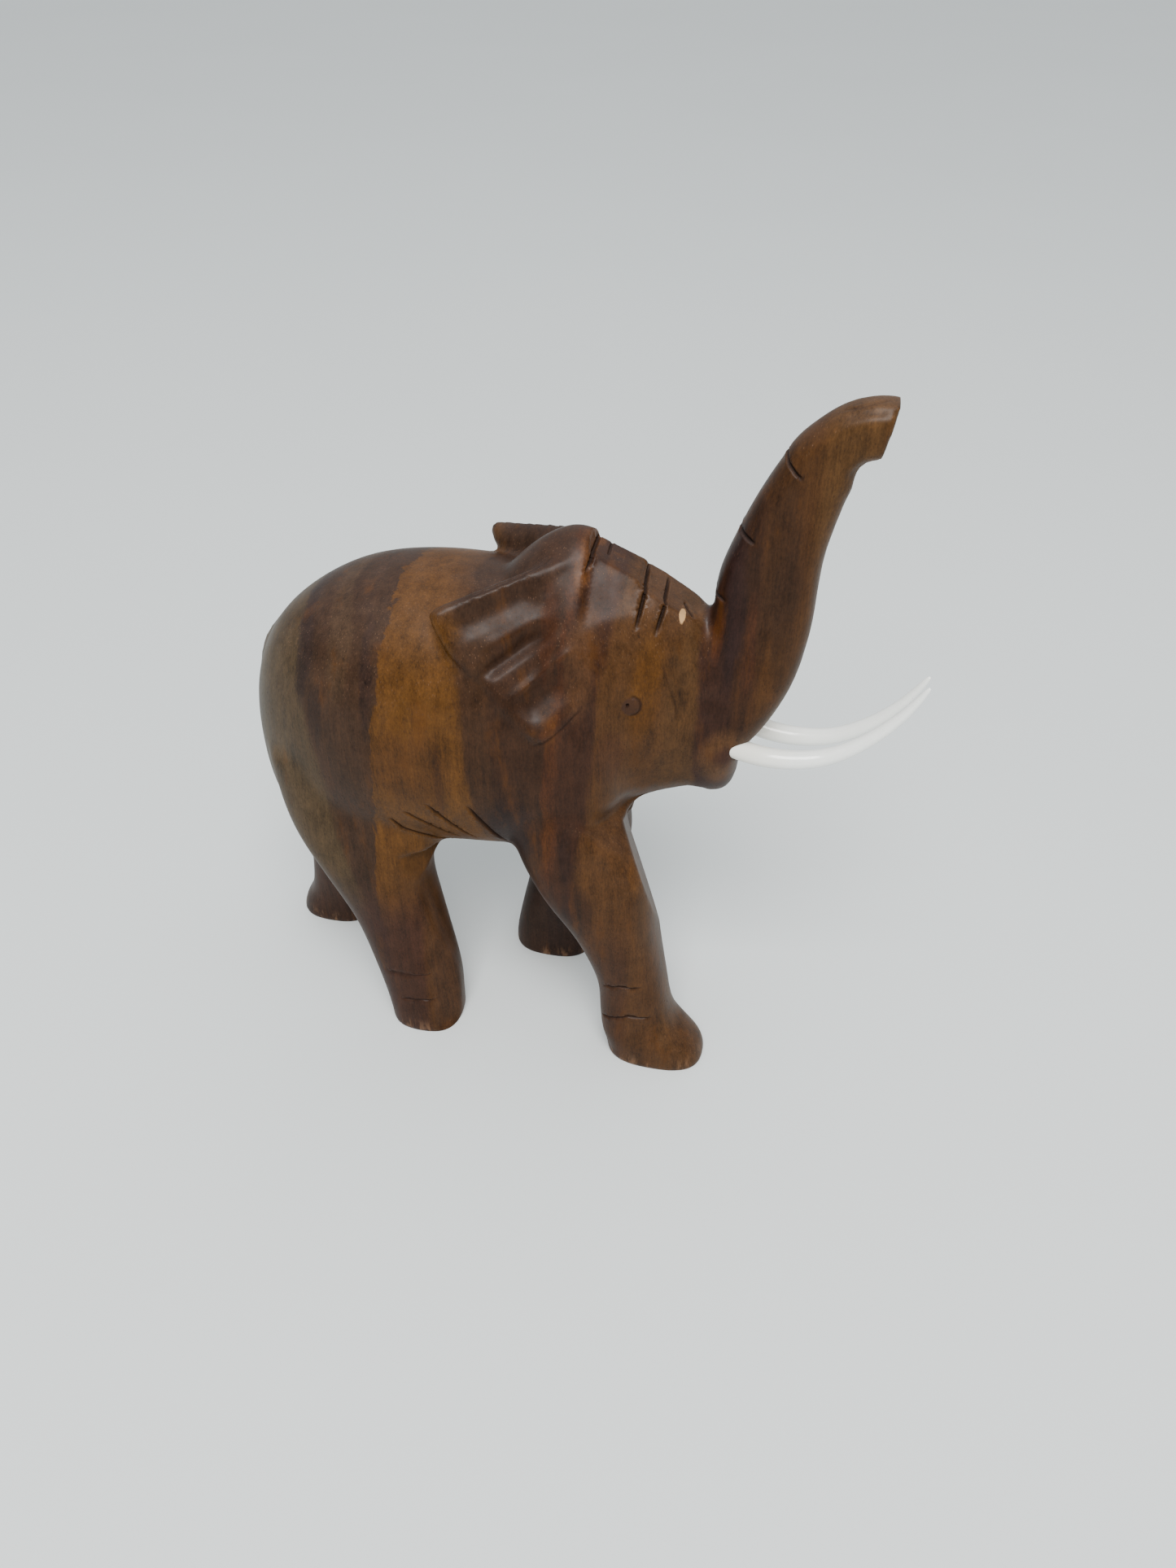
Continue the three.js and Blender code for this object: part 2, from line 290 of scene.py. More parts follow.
def spine_rings(stations, steps, sides, square):
    """Rings across a spine in the x-z plane; rows are x, z, depth, width."""
    rows = between(stations, steps)
    for i, (x, z, depth, half) in enumerate(rows):
        before, after = rows[max(i - 1, 0)], rows[min(i + 1, len(rows) - 1)]
        along = Vector((after[0] - before[0], after[1] - before[1])).normalized()
        yield [
            place(x - along.y * u * depth, v * half, z + along.x * u * depth)
            for u, v in (super_point(k / sides, square) for k in range(sides))
        ]


def ear_basis(side):
    """Rear corner and axes of an ear's outer face: along the top, up, out."""
    rear = Vector(EAR_TOP_REAR[side])
    along = (Vector(EAR_TOP_FRONT) - rear).normalized()
    down = Vector(EAR_BOTTOM) - rear
    outward = along.cross(down).normalized()
    up = along.cross(outward).normalized()
    return rear, along, up, outward


def ear_point(side, along, up, out=0):
    rear, u, v, w = ear_basis(side)
    spot = rear + u * along + v * up + w * out
    return (spot.x, side * spot.y, spot.z)


def ear_rings(side):
    middle = Vector(EAR_MIDDLE)
    for out, shrink in EAR_LEVELS:
        yield [
            place(*ear_point(side, *Vector(corner).lerp(middle, shrink), out))
            for corner in EAR_OUTLINE
        ]


def to_object(bm, name):
    bmesh.ops.recalc_face_normals(bm, faces=bm.faces)
    mesh = bpy.data.meshes.new(name)
    bm.to_mesh(mesh)
    bm.free()
    piece = bpy.data.objects.new(name, mesh)
    bpy.context.scene.collection.objects.link(piece)
    return piece


def apply_modifier(piece, kind, **settings):
    modifier = piece.modifiers.new(kind.title(), kind)
    for key, value in settings.items():
        setattr(modifier, key, value)
    with bpy.context.temp_override(object=piece, active_object=piece):
        bpy.ops.object.modifier_apply(modifier=modifier.name)


def absorb(bm, other):
    """Adds the other bmesh's shells to bm."""
    mesh = bpy.data.meshes.new("shell")
    other.to_mesh(mesh)
    other.free()
    bm.from_mesh(mesh)
    bpy.data.meshes.remove(mesh)


def weld(bm, voxel):
    """One skin round all the shells in bm, as a fresh bmesh."""
    piece = to_object(bm, "welding")
    apply_modifier(piece, "REMESH", mode="VOXEL", voxel_size=voxel)
    skin = bmesh.new()
    skin.from_mesh(piece.data)
    mesh = piece.data
    bpy.data.objects.remove(piece)
    bpy.data.meshes.remove(mesh)
    return skin


def wear(bm, rounds):
    """Sands the surface smooth."""
    verts = bm.verts[:]
    for _round in range(rounds):
        bmesh.ops.smooth_vert(
            bm, verts=verts, factor=0.5,
            use_axis_x=True, use_axis_y=True, use_axis_z=True)


# ---- carving ----------------------------------------------------------------
# The rim of each sole: how high it is rounded, and by how much
SOLE_EDGE = 1.0 * MM
SOLE_ROUNDING = 0.45 * MM
# Depth at which a knife cut and a gouged hollow are painted darkest, as stain and painted shade
KNIFE_DARKEST = 0.5 * MM
GOUGE_DARKEST = 4.5 * MM
# Edges this many half widths round a knife cut are halved, this many times
REFINE_REACH = 2.3
REFINE_ROUNDS = 2
# Left eye boss: its middle, radius and height
EYE = (40.5, 14.6, 109.1)
EYE_RADIUS = 2.2
EYE_HEIGHT = 1.2

# Facets planed on the wood: a point of it, its normal, the box it is in, and
# for some the height over which it runs out
FACETS = (
    # front of the near hind leg
    ((-8, -19.5, 34), (0.8, -0.6, 0.1), (-20, -30, 1), (5, -5, 62)),
    # front of the near fore leg, running in to the chest
    ((44.1, -17, 62.4), (0.911, 0.307, 0.275), (30, -27, 36), (60, 4, 74)),
    # the fold between that leg and the throat
    ((37.8, -20.7, 71.6), (0.669, -0.325, 0.667), (26, -27, 50), (60, -6, 83), 5),
    # forehead, then the brow on either side of it
    ((34, 0, 136), (0.42, 0, 0.907), (29.3, -9, 128), (42, 9, 142)),
    ((46.5, 0, 128.5), (0.5, 0, 0.866), (40, -9, 120), (53, 9, 138)),
    ((34.2, -4.2, 136), (0.262, -0.736, 0.623), (29.3, -20, 118), (48, -3, 142)),
    ((34.2, 4.2, 136), (0.262, 0.736, 0.623), (29.3, 3, 118), (48, 20, 142)),
    # flats down the sides of the trunk
    ((66, -6.9, 126), (-0.012, -0.9987, 0.05), (56, -12, 108), (92, -3, 190), 22),
    ((66, 6.9, 126), (-0.012, 0.9987, 0.05), (56, 3, 108), (92, 12, 190), 22),
)
# Broad hollows: points (x, y, z), half width, depth
HEAD_HOLLOWS = (
    (((48.6, -11.2, 120), (50.6, -11.8, 112), (52.2, -12.2, 103)), 2.8, 0.8),
)
HOLLOWS = HEAD_HOLLOWS + (
    (((52.4, -7, 81), (53.4, 0, 80.5), (52.4, 7, 81)), 5, 1.4),
    (((80.8, -9, 162), (80.4, 0, 159.5), (80.8, 9, 162)), 5, 0.9),
    (((76.5, -3.4, 170.8), (80, -3.6, 172.2), (84.4, -3.6, 172.8)), 1.2, 0.4),
)


def ear_flutes(side):
    """Dished lobes between ridges that fan back from the temple."""
    fan = (
        ((22, -4.4), (3, -5.6), 4.0, 0.9),
        ((23, -9.6), (7, -11.4), 1.9, -0.5),
        ((22.5, -12.8), (3.5, -17.2), 2.3, 1.6),
        ((25, -17.6), (8.2, -23.6), 1.2, -0.9),
        ((24, -22), (9.5, -27.6), 4.4, 1.3),
    )
    return [
        ((ear_point(side, *a), ear_point(side, *b)), half, depth)
        for a, b, half, depth in fan
    ]


# Knife cuts: points (x, y, z), half width, depth. These are on both sides.
HEAD_CUTS = (
    (((45.8, -11.1, 119.4), (47.5, -11.6, 115.2), (50.2, -11.9, 108),
      (50.1, -12.3, 103.4)), 0.55, 0.2),
    (((20.5, -24, 101.6), (23.3, -22.9, 102.6), (26.1, -21.9, 104.9), (28.4, -20.1, 107.2),
      (29.9, -19, 108.7), (30.9, -18.4, 110.8)), 0.55, 0.26),
)
# The crease along the top of the right ear
RIGHT_CUTS = (
    (((4.3, -16.6, 131.5), (10.3, -14, 133.2), (16.4, -10.8, 135.5),
      (22.1, -5.7, 137.6)), 0.55, 0.3),
)
LEFT_CUTS = (
    (((-30, 24, 82), (-27, 24.5, 75), (-24, 20, 66)), 0.5, 1.0),
    (((-22, 25, 84), (-19, 25, 77), (-17, 21, 68)), 0.5, 0.7),
    (((9, 23.8, 24), (16, 24.4, 25), (24, 23.6, 25)), 0.4, 0.6),
    (((8, 24, 14), (15, 24.6, 14.6), (22, 24, 14.6)), 0.4, 0.7),
    (((-54, 23.8, 15), (-48, 24.8, 15), (-42, 24, 15)), 0.4, 0.6),
)
KNIFE_CUTS = (
    (((76.1, -1.6, 171.5), (79.3, -2.4, 173), (84.1, -1, 174)), 0.45, 0.22),
    (((29.2, 5.5, 137.5), (29.8, -2.6, 138.1), (29.2, -7.6, 135.6)), 0.55, 1.0),
    (((32.2, 5.0, 136.2), (32.8, -1.5, 136.8)), 0.45, 0.5),
    (((40.3, 5.5, 132), (41.3, -2.9, 132.3), (41.1, -6.8, 130.1), (40.4, -10.6, 125.4)), 0.5, 1.2),
    (((44.8, 4.8, 129.5), (45.3, -3.7, 129.3), (44.4, -9.6, 124)), 0.5, 1.1),
    (((49.6, -0.6, 128), (50.2, -2.2, 127.2), (51.2, -3.8, 125.4)), 0.6, 1.1),
    (((55, 3, 131.8), (55.2, -1.5, 131.4), (57.6, -5.8, 131.2)), 0.5, 0.8),
    (((59.3, 3.5, 146), (59.5, -1.5, 146), (62.6, -6.2, 145)), 0.55, 0.95),
    (((67, 3.5, 162), (67.2, -1.5, 162), (70.4, -5.8, 158.8)), 0.5, 0.85),
    (((-13.6, -24.4, 74.5), (-11.4, -22.6, 71), (-6, -20, 68), (-1.6, -16, 63.6)), 0.55, 1.5),
    (((-9.4, -25, 78.6), (-5.4, -24, 75.4), (1.4, -20.4, 68.8)), 0.5, 1.1),
    (((-3.6, -26, 82.4), (0, -24.6, 77.6), (5.4, -19.6, 69.4)), 0.5, 0.9),
    (((-2.7, -16.7, 65.2), (1.1, -17, 66.2)), 0.45, 0.6),
    (((5.8, -25.6, 83.4), (8.8, -23.8, 77.2), (12.6, -18, 68.6)), 0.6, 0.9),
    (((36.8, -22.8, 27.2), (40.8, -23.5, 28.4), (46.4, -22.7, 28.8)), 0.4, 0.7),
    (((36, -21.4, 14.3), (43.2, -23.7, 17.9), (49.5, -22.9, 18.1)), 0.4, 0.8),
    (((-21, -23.9, 20.6), (-14.9, -24.1, 20.6), (-8.2, -22.8, 21.1)), 0.35, 0.35),
    (((-16.9, -24.8, 11.4), (-11, -24.6, 12.2), (-7.2, -23.6, 11.9)), 0.4, 0.5),
)


def snapped(surface, points, spacing):
    """The stroke's points laid on the surface, this far apart."""
    path = [surface.find_nearest(place(*p))[0] for p in points]
    spots = []
    for a, b in zip(path, path[1:]):
        count = max(1, round((b - a).length / spacing))
        spots += [surface.find_nearest(a.lerp(b, k / count))[0] for k in range(count)]
    return spots + [path[-1]]


def lay(bm, strokes, spacing):
    surface = BVHTree.FromBMesh(bm)
    return [
        (snapped(surface, line, spacing * MM), half * MM, depth * MM)
        for line, half, depth in strokes
    ]


def refine(bm, laid, reach, rounds):
    """Halves the edges near the strokes, this many times."""
    spots = [(spot, half) for path, half, _depth in laid for spot in path]
    tree = KDTree(len(spots))
    for k, (spot, _half) in enumerate(spots):
        tree.insert(spot, k)
    tree.balance()
    for _round in range(rounds):
        close = set()
        for vert in bm.verts:
            _spot, k, far = tree.find(vert.co)
            if far < spots[k][1] * reach:
                close.add(vert)
        edges = [e for e in bm.edges if e.verts[0] in close and e.verts[1] in close]
        bmesh.ops.subdivide_edges(bm, edges=edges, cuts=1, use_grid_fill=True)


def carve(bm, laid, profile, reach):
    """Presses the strokes into the surface along its normals."""
    bm.normal_update()
    bm.verts.ensure_lookup_table()
    tree = KDTree(len(bm.verts))
    for vert in bm.verts:
        tree.insert(vert.co, vert.index)
    tree.balance()
    cut = bm.verts.layers.float.get("cut") or bm.verts.layers.float.new("cut")
    moves = {}
    for path, half, depth in laid:
        nearest = {}
        for k, spot in enumerate(path):
            for _co, index, far in tree.find_range(spot, half * reach):
                if far < nearest.get(index, (half * reach, 0))[0]:
                    nearest[index] = (far, k)
        for index, (far, k) in nearest.items():
            share = k / max(1, len(path) - 1)
            ends = min(1, min(share, 1 - share) * 5 + 0.15) if len(path) > 1 else 1
            push = depth * profile(far / half) * ends
            moves[index] = moves.get(index, 0) + push
    for index, push in moves.items():
        vert = bm.verts[index]
        vert.co -= vert.normal * push
        # the cut layer keeps how deep each point was pressed; the wood is painted darker there,
        # partly stain and partly painted shade
        stain = KNIFE_DARKEST if profile is knife else GOUGE_DARKEST
        vert[cut] = max(vert[cut], min(1, push / stain))


def knife(distance):
    """V with a slight burr on either side."""
    if distance < 1:
        return 1 - distance
    return -0.1 * max(0, 1 - abs(distance - 1.4) / 0.6)


def gouge(distance):
    """Round-bottomed hollow with soft shoulders."""
    return (1 - min(1, distance * distance)) ** 2


def shave(bm, point, normal, low, high, run_out=0.01):
    """Planes off what stands proud of a facet inside a box.

    The plane lifts off over this many millimetres at the box's foot and top.
    """
    point, low, high = place(*point), place(*low), place(*high)
    normal = Vector(normal).normalized()
    for vert in bm.verts:
        co = vert.co
        if all(low[i] < co[i] < high[i] for i in range(3)):
            proud = (co - point).dot(normal)
            if proud > 0:
                inside = min(co.z - low.z, high.z - co.z)
                bite = min(1, inside / (run_out * MM))
                vert.co = co - normal * proud * bite * bite


def mirrored(strokes):
    """The same strokes on the animal's left side."""
    return tuple(
        (tuple((x, -y, z) for x, y, z in line), half, depth)
        for line, half, depth in strokes
    )


def eye_strokes(side):
    """A sunk ring round the boss and a pin prick in it."""
    x, y, z = EYE
    ring = tuple(
        (x + EYE_RADIUS * math.cos(a), side * y, z + EYE_RADIUS * math.sin(a))
        for a in (math.radians(d) for d in range(-110, 111, 20))
    )
    return ((ring, 0.5, 0.35), (((x - 0.9, side * y, z + 0.4),), 0.42, 1.0))


def stand(bm):
    """Rounds the rims of the feet and saws the soles flat."""
    bm.normal_update()
    for vert in bm.verts:
        low = 1 - vert.co.z / SOLE_EDGE
        if low > 0:
            out = Vector((vert.normal.x, vert.normal.y, 0))
            vert.co -= out * SOLE_ROUNDING * min(1, low) ** 2
    cut = bmesh.ops.bisect_plane(
        bm, geom=bm.verts[:] + bm.edges[:] + bm.faces[:], dist=1e-7,
        plane_co=(0, 0, 0), plane_no=(0, 0, -1), clear_outer=True)
    rims = [e for e in cut["geom_cut"] if isinstance(e, bmesh.types.BMEdge)]
    soles = bmesh.ops.edgeloop_fill(bm, edges=rims)["faces"]
    bmesh.ops.triangulate(bm, faces=soles)


# ---- pieces -----------------------------------------------------------------
def limbs():
    """Barrel, legs, head and trunk as overlapping closed shells."""
    bm = bmesh.new()
    loft(bm, list(barrel_rings()))
    for side, stations in LEGS.values():
        loft(bm, list(leg_rings(side, stations)))
    loft(bm, list(head_rings()))
    absorb(bm, trunk_shell(TRUNK))
    return bm


def trunk_shell(rows):
    """The trunk through these stations, its tip sawn on the slant."""
    trunk = bmesh.new()
    loft(trunk, list(spine_rings(rows, 5, 36, 2.5)))
    lean = Vector((math.cos(TRUNK_TIP_LEAN), 0, -math.sin(TRUNK_TIP_LEAN)))
    cut = bmesh.ops.bisect_plane(
        trunk, geom=trunk.verts[:] + trunk.edges[:] + trunk.faces[:], dist=1e-7,
        plane_co=place(*TRUNK_TIP), plane_no=lean, clear_outer=True)
    rim = [e for e in cut["geom_cut"] if isinstance(e, bmesh.types.BMEdge)]
    bmesh.ops.edgeloop_fill(trunk, edges=rim)
    return trunk


def relief(bm):
    """Ears, eye bosses and tail, laid on the smoothed limbs."""
    for side in (-1, 1):
        loft(bm, list(ear_rings(side)))
        ball = bmesh.ops.create_uvsphere(bm, u_segments=20, v_segments=12, radius=1)
        size = (EYE_RADIUS * MM, EYE_HEIGHT * MM, EYE_RADIUS * MM)
        bmesh.ops.scale(bm, vec=size, verts=ball["verts"])
        bmesh.ops.translate(
            bm, vec=place(EYE[0], side * EYE[1], EYE[2]), verts=ball["verts"])
    absorb(bm, trunk_shell((TRUNK_TIP_FOOT,) + TRUNK[7:]))
    rows = [(x, z, r, r * 1.1) for x, z, r in TAIL]
    loft(bm, list(spine_rings(rows, 4, 16, 2)))


def build_body(sizes):
    skin = weld(limbs(), sizes.coarse)
    wear(skin, sizes.sanding)
    relief(skin)
    skin = weld(skin, sizes.fine)
    wear(skin, 2)
    for facet in FACETS:
        shave(skin, *facet)
    broad = [s for side in (-1, 1) for s in ear_flutes(side)]
    broad += HOLLOWS + mirrored(HEAD_HOLLOWS)
    carve(skin, lay(skin, broad, 0.8), gouge, 1)
    wear(skin, 1)
    fine = KNIFE_CUTS + HEAD_CUTS + RIGHT_CUTS + mirrored(HEAD_CUTS) + LEFT_CUTS
    fine += eye_strokes(-1) + eye_strokes(1)
    laid = lay(skin, fine, 0.2)
    refine(skin, laid, REFINE_REACH, REFINE_ROUNDS)
    carve(skin, laid, knife, 2)
    stand(skin)
    bmesh.ops.triangulate(skin, faces=[f for f in skin.faces if len(f.verts) > 4])
    return to_object(skin, "wood_body")


TUSK_TIP_EDGE = 0.12 * MM
SOCKET_FIT = 0.12   # millimetres of air round a tusk


def tusk_radius(share, full):
    """Full at the socket, tapering to a blunt point."""
    taper = max(0, (share - 0.2) / 0.8)
    return full * math.sqrt(max(0.01, 1 - 0.985 * taper ** 1.6))


def tusk_rings(side, full):
    rows = between(TUSK_PATH, 12)
    for i, row in enumerate(rows):
        before = Vector(rows[i - 1])
        after = Vector(rows[min(i + 1, len(rows) - 1)])
        along = (after - before).normalized()
        across = along.cross(Vector((0, 1, 0))).normalized()
        other = along.cross(across)
        radius = tusk_radius(i / (len(rows) - 1), full)
        ring = []
        for k in range(28):
            turn = k / 28 * math.tau
            spot = Vector(row) + radius * (
                across * math.cos(turn) + other * math.sin(turn))
            ring.append(place(spot.x, side * spot.y, spot.z))
        yield ring


def build_tusk(name, side, full):
    bm = bmesh.new()
    loft(bm, list(tusk_rings(side, full)))
    tip = max(bm.faces, key=lambda f: f.calc_center_median().z)
    bmesh.ops.bevel(
        bm, geom=list(tip.edges), offset=TUSK_TIP_EDGE, offset_type="OFFSET",
        segments=2, profile=0.5, affect="EDGES", material=-1)
    piece = to_object(bm, name)
    piece.data.shade_smooth()
    return piece


def drill(body, full):
    """Bores a socket for each tusk into the wood."""
    for side in (-1, 1):
        bit = build_tusk("bit", side, full + SOCKET_FIT)
        apply_modifier(
            body, "BOOLEAN", operation="DIFFERENCE", object=bit, solver="EXACT")
        bpy.data.objects.remove(bit)


# ---- materials --------------------------------------------------------------
class Signal:
    """A number running through a material, which Python's signs work on."""

    def __init__(self, board, socket):
        self.board = board
        self.socket = socket

    def _math(self, operation, a, b):
        return self.board.node("ShaderNodeMath", {"operation": operation}, {0: a, 1: b})

    def __add__(self, other):
        return self._math("ADD", self, other)

    def __sub__(self, other):
        return self._math("SUBTRACT", self, other)

    def __rsub__(self, other):
        return self._math("SUBTRACT", other, self)

    def __mul__(self, other):
        return self._math("MULTIPLY", self, other)

    def __truediv__(self, other):
        return self._math("DIVIDE", self, other)

    def at_least(self, other):
        return self._math("MAXIMUM", self, other)

    __radd__ = __add__
    __rmul__ = __mul__


class Board:
    """The nodes of one material."""

    def __init__(self, name):
        self.material = bpy.data.materials.new(name)
        self.material.use_nodes = True
        self.tree = self.material.node_tree
        self.tree.nodes.clear()

    def node(self, kind, settings=None, sockets=None, out=0):
        """Adds a node and hands back one of its outputs."""
        made = self.tree.nodes.new(kind)
        for key, value in (settings or {}).items():
            setattr(made, key, value)
        for key, value in (sockets or {}).items():
            if isinstance(value, Signal):
                self.tree.links.new(value.socket, made.inputs[key])
            else:
                made.inputs[key].default_value = value
        if not made.outputs:
            return None
        return Signal(self, made.outputs[out])

    def vector(self, operation, a, b):
        names = {0: a, "Scale": b} if operation == "SCALE" else {0: a, 1: b}
        return self.node("ShaderNodeVectorMath", {"operation": operation}, names)

    def noise(self, where, scale, detail=2.0, rough=0.5):
        """Smooth noise from 0 to 1."""
        return self.node("ShaderNodeTexNoise", {"noise_dimensions": "3D"}, {
            "Vector": where, "Scale": scale, "Detail": detail, "Roughness": rough})

    def step(self, value, low, high, start=0.0, end=1.0):
        """Smooth step from start to end as value goes from low to high."""
        return self.node("ShaderNodeMapRange", {"interpolation_type": "SMOOTHSTEP"}, {
            "Value": value, "From Min": low, "From Max": high,
            "To Min": start, "To Max": end})

    def mix(self, factor, a, b, blend="MIX"):
        return self.node(
            "ShaderNodeMix", {"data_type": "RGBA", "blend_type": blend},
            {0: factor, 6: a, 7: b}, out=2)

    def bump(self, height, strength, distance):
        return self.node("ShaderNodeBump", None, {
            "Height": height, "Strength": strength, "Distance": distance})

    def finish(self, **sockets):
        """Closes the material with one Principled surface."""
        named = {key.replace("_", " "): value for key, value in sockets.items()}
        surface = self.node("ShaderNodeBsdfPrincipled", None, named)
        self.node("ShaderNodeOutputMaterial", None, {"Surface": surface})
        return self.material


def rgba(color):
    """Linear colour of 0-255 steps as a screen counts them."""
    return (*(((step / 255 + 0.055) / 1.055) ** 2.4 for step in color), 1.0)


def lacquered(color, depth=0.345, richness=1.27):
    """The timber's tint as it looks deepened by lacquer."""
    linear = rgba(color)[:3]
    grey = sum(linear) / 3
    return (*(max(0.002, (grey + (c - grey) * richness) * depth) for c in linear), 1.0)


# Where one tint of the timber gives way to the next, from tail to trunk: x at
# height 120, x at height 60, half width of the change, raggedness, new tint
SEAMS = (
    (-44, -46, 3, 1, (104, 87, 68)),
    (-38, -36, 4, 2, (98, 80, 60)),
    (-33, -25.5, 1.2, 1.4, (82, 60, 46)),
    (-12.2, -18, 0.35, 2.4, (118, 82, 50)),
    (4.5, 11, 1.6, 2, (80, 56, 40)),
    (12, 14, 1.5, 1.5, (75, 51, 37)),
    (24.5, 22, 0.8, 2.4, (94, 60, 42)),
    (26.6, 25.6, 0.9, 2.4, (76, 50, 37)),
    (35.5, 31, 1.2, 1.2, (103, 72, 48)),
    (47.5, 45, 1.6, 1.2, (106, 77, 53)),
    (52.4, 54.6, 0.9, 1, (72, 48, 38)),
    (61, 62, 1.2, 1.4, (78, 52, 36)),
    (65.5, 66, 1.6, 1.4, (96, 66, 43)),
    (75, 76, 2, 1.4, (112, 82, 56)),
)
# The legs, below the belly: from x, to x, tint
LEG_TINTS = (
    (-70, -37, (78, 52, 42)),
    (-36, -9, (76, 50, 41)),
    (-9, 0, (96, 66, 46)),
    (0, 30, (72, 52, 44)),
    (30, 43, (86, 58, 42)),
    (43, 52, (98, 68, 46)),
    (52, 70, (104, 74, 50)),
)
# Single streaks: x, height, half width, half height, strength, tint
STREAKS = (
    (9, 133, 15, 8, 0.75, (78, 57, 45)),
    # light-brown timber over the temple, partly a painted sheen of the temple ridge
    (30, 119, 4.6, 14, 0.7, (112, 80, 58)),
    (-31.5, 114, 2.6, 15, 0.8, (62, 46, 41)),
    (-28, 101, 2, 10, 0.5, (60, 44, 38)),
    (-23.5, 119, 4, 16, 0.7, (100, 78, 60)),
    (-16, 112, 2.2, 15, 0.7, (66, 48, 42)),
    (0, 90, 1.8, 15, 0.65, (78, 50, 33)),
    (-6, 92, 12, 13, 0.6, (98, 66, 42)),
    (-8, 106, 2, 7, 0.3, (126, 88, 50)),
    (16, 76, 6, 13, 0.85, (54, 36, 31)),
    (23.6, 76, 1.8, 13, 0.7, (104, 66, 42)),
    (25, 108, 1.5, 7, 0.6, (104, 68, 46)),
    (27.6, 137, 1.8, 6, 0.8, (128, 86, 58)),
    (22, 124, 2, 12, 0.5, (96, 58, 40)),
    (29, 70, 2, 11, 0.6, (56, 38, 32)),
    (31, 52, 4, 13, 0.6, (58, 38, 31)),
    (43.5, 66, 2, 9, 0.6, (126, 86, 52)),
    (43, 112, 4, 16, 0.6, (116, 78, 40)),
    (37, 96, 4, 9, 0.5, (84, 54, 39)),
    (60, 93, 7, 10, 0.9, (116, 84, 60)),
    (60, 132, 3, 26, 0.75, (56, 38, 36)),
    (56.4, 124, 1.4, 9, 0.7, (98, 60, 42)),
    (70, 128, 3, 20, 0.4, (66, 48, 36)),
    (67, 142, 8, 26, 0.45, (60, 42, 35)),
    (63.5, 122, 1.6, 14, 0.6, (94, 60, 44)),
)
# The bare chip below the brow, and the stain outside the right tusk
CHIP = (49.2, -5, 127)
SMEAR = (60.6, -8.4, 93.8)
SEAM_LOW = 60    # height of the lower of a seam's two points
SEAM_SPAN = 60   # height between them
SEAM_FOOT = 48   # below this height the seams run straight down


def table_point(board):
    """The point being coloured, in millimetres of the tables, and its x, y, z."""
    spot = board.node("ShaderNodeTexCoord", out="Object")
    mm = board.vector("ADD", board.vector("SCALE", spot, 1 / MM), (-SHIFT_X, 0, 0))
    split = board.node("ShaderNodeSeparateXYZ", None, {0: mm}).socket.node.outputs
    return mm, *(Signal(board, split[name]) for name in "XYZ")


def oval_mask(board, x, z, middle, height, half_x, half_z):
    """1 inside an upright oval, fading to 0 at its rim."""
    across = (x - middle) / half_x
    up = (z - height) / half_z
    return board.step(across * across + up * up, 0.15, 1.0, 1.0, 0.0)


def near(board, mm, spot, radius, soft):
    """1 within this radius of a spot, in millimetres of the tables."""
    gap = board.node(
        "ShaderNodeVectorMath", {"operation": "DISTANCE"}, {0: mm, 1: spot}, out="Value")
    return board.step(gap, radius - soft, radius + soft, 1.0, 0.0)


def banded(board, color, x, along, z, wander, rag):
    """Lays the bands of the block, the tints of the legs and the streaks."""
    level = z.at_least(SEAM_FOOT)
    for top, bottom, soft, ragged, tint in SEAMS:
        slope = (top - bottom) / SEAM_SPAN
        line = level * slope + (bottom - SEAM_LOW * slope)
        past = along - line + (rag - 0.5) * (ragged * 2.6)
        color = board.mix(board.step(past, -soft, soft), color, lacquered(tint))
    for x_from, x_to, tint in LEG_TINTS:
        front = board.step(x, x_to - 2, x_to + 2, 1.0, 0.0)
        mask = board.step(x, x_from - 2, x_from + 2) * front
        low = board.step(z + (wander - 0.5) * 30, 34, 62, 0.9, 0.0)
        color = board.mix(mask * low, color, lacquered(tint))
    ragged_x = along + (rag - 0.5) * 4
    for *oval, strength, tint in STREAKS:
        mask = oval_mask(board, ragged_x, z, *oval)
        color = board.mix(mask * strength, color, lacquered(tint))
    return color


def marked(board, color, mm, rag):
    """Stains the eyes and the wood round the tusks, and bares the chip."""
    for side in (-1, 1):
        eye = near(board, mm, (EYE[0], side * EYE[1], EYE[2]), 2.3, 0.35)
        color = board.mix(eye * 0.6, color, rgba((44, 28, 24)))
        stain = near(board, mm, (SMEAR[0], -side * SMEAR[1], SMEAR[2]), 2.6, 1.6)
        color = board.mix(stain * 0.7, color, rgba((46, 24, 19)))
    squashed = board.vector(
        "MULTIPLY", board.vector("SUBTRACT", mm, CHIP), (1.5, 0.5, 0.45))
    chip = board.node(
        "ShaderNodeVectorMath", {"operation": "LENGTH"}, {0: squashed}, out="Value")
    bare = board.step(chip + (rag - 0.5) * 0.9, 0.85, 1.1, 1.0, 0.0)
    return board.mix(bare * 0.85, color, rgba((190, 150, 104))), bare


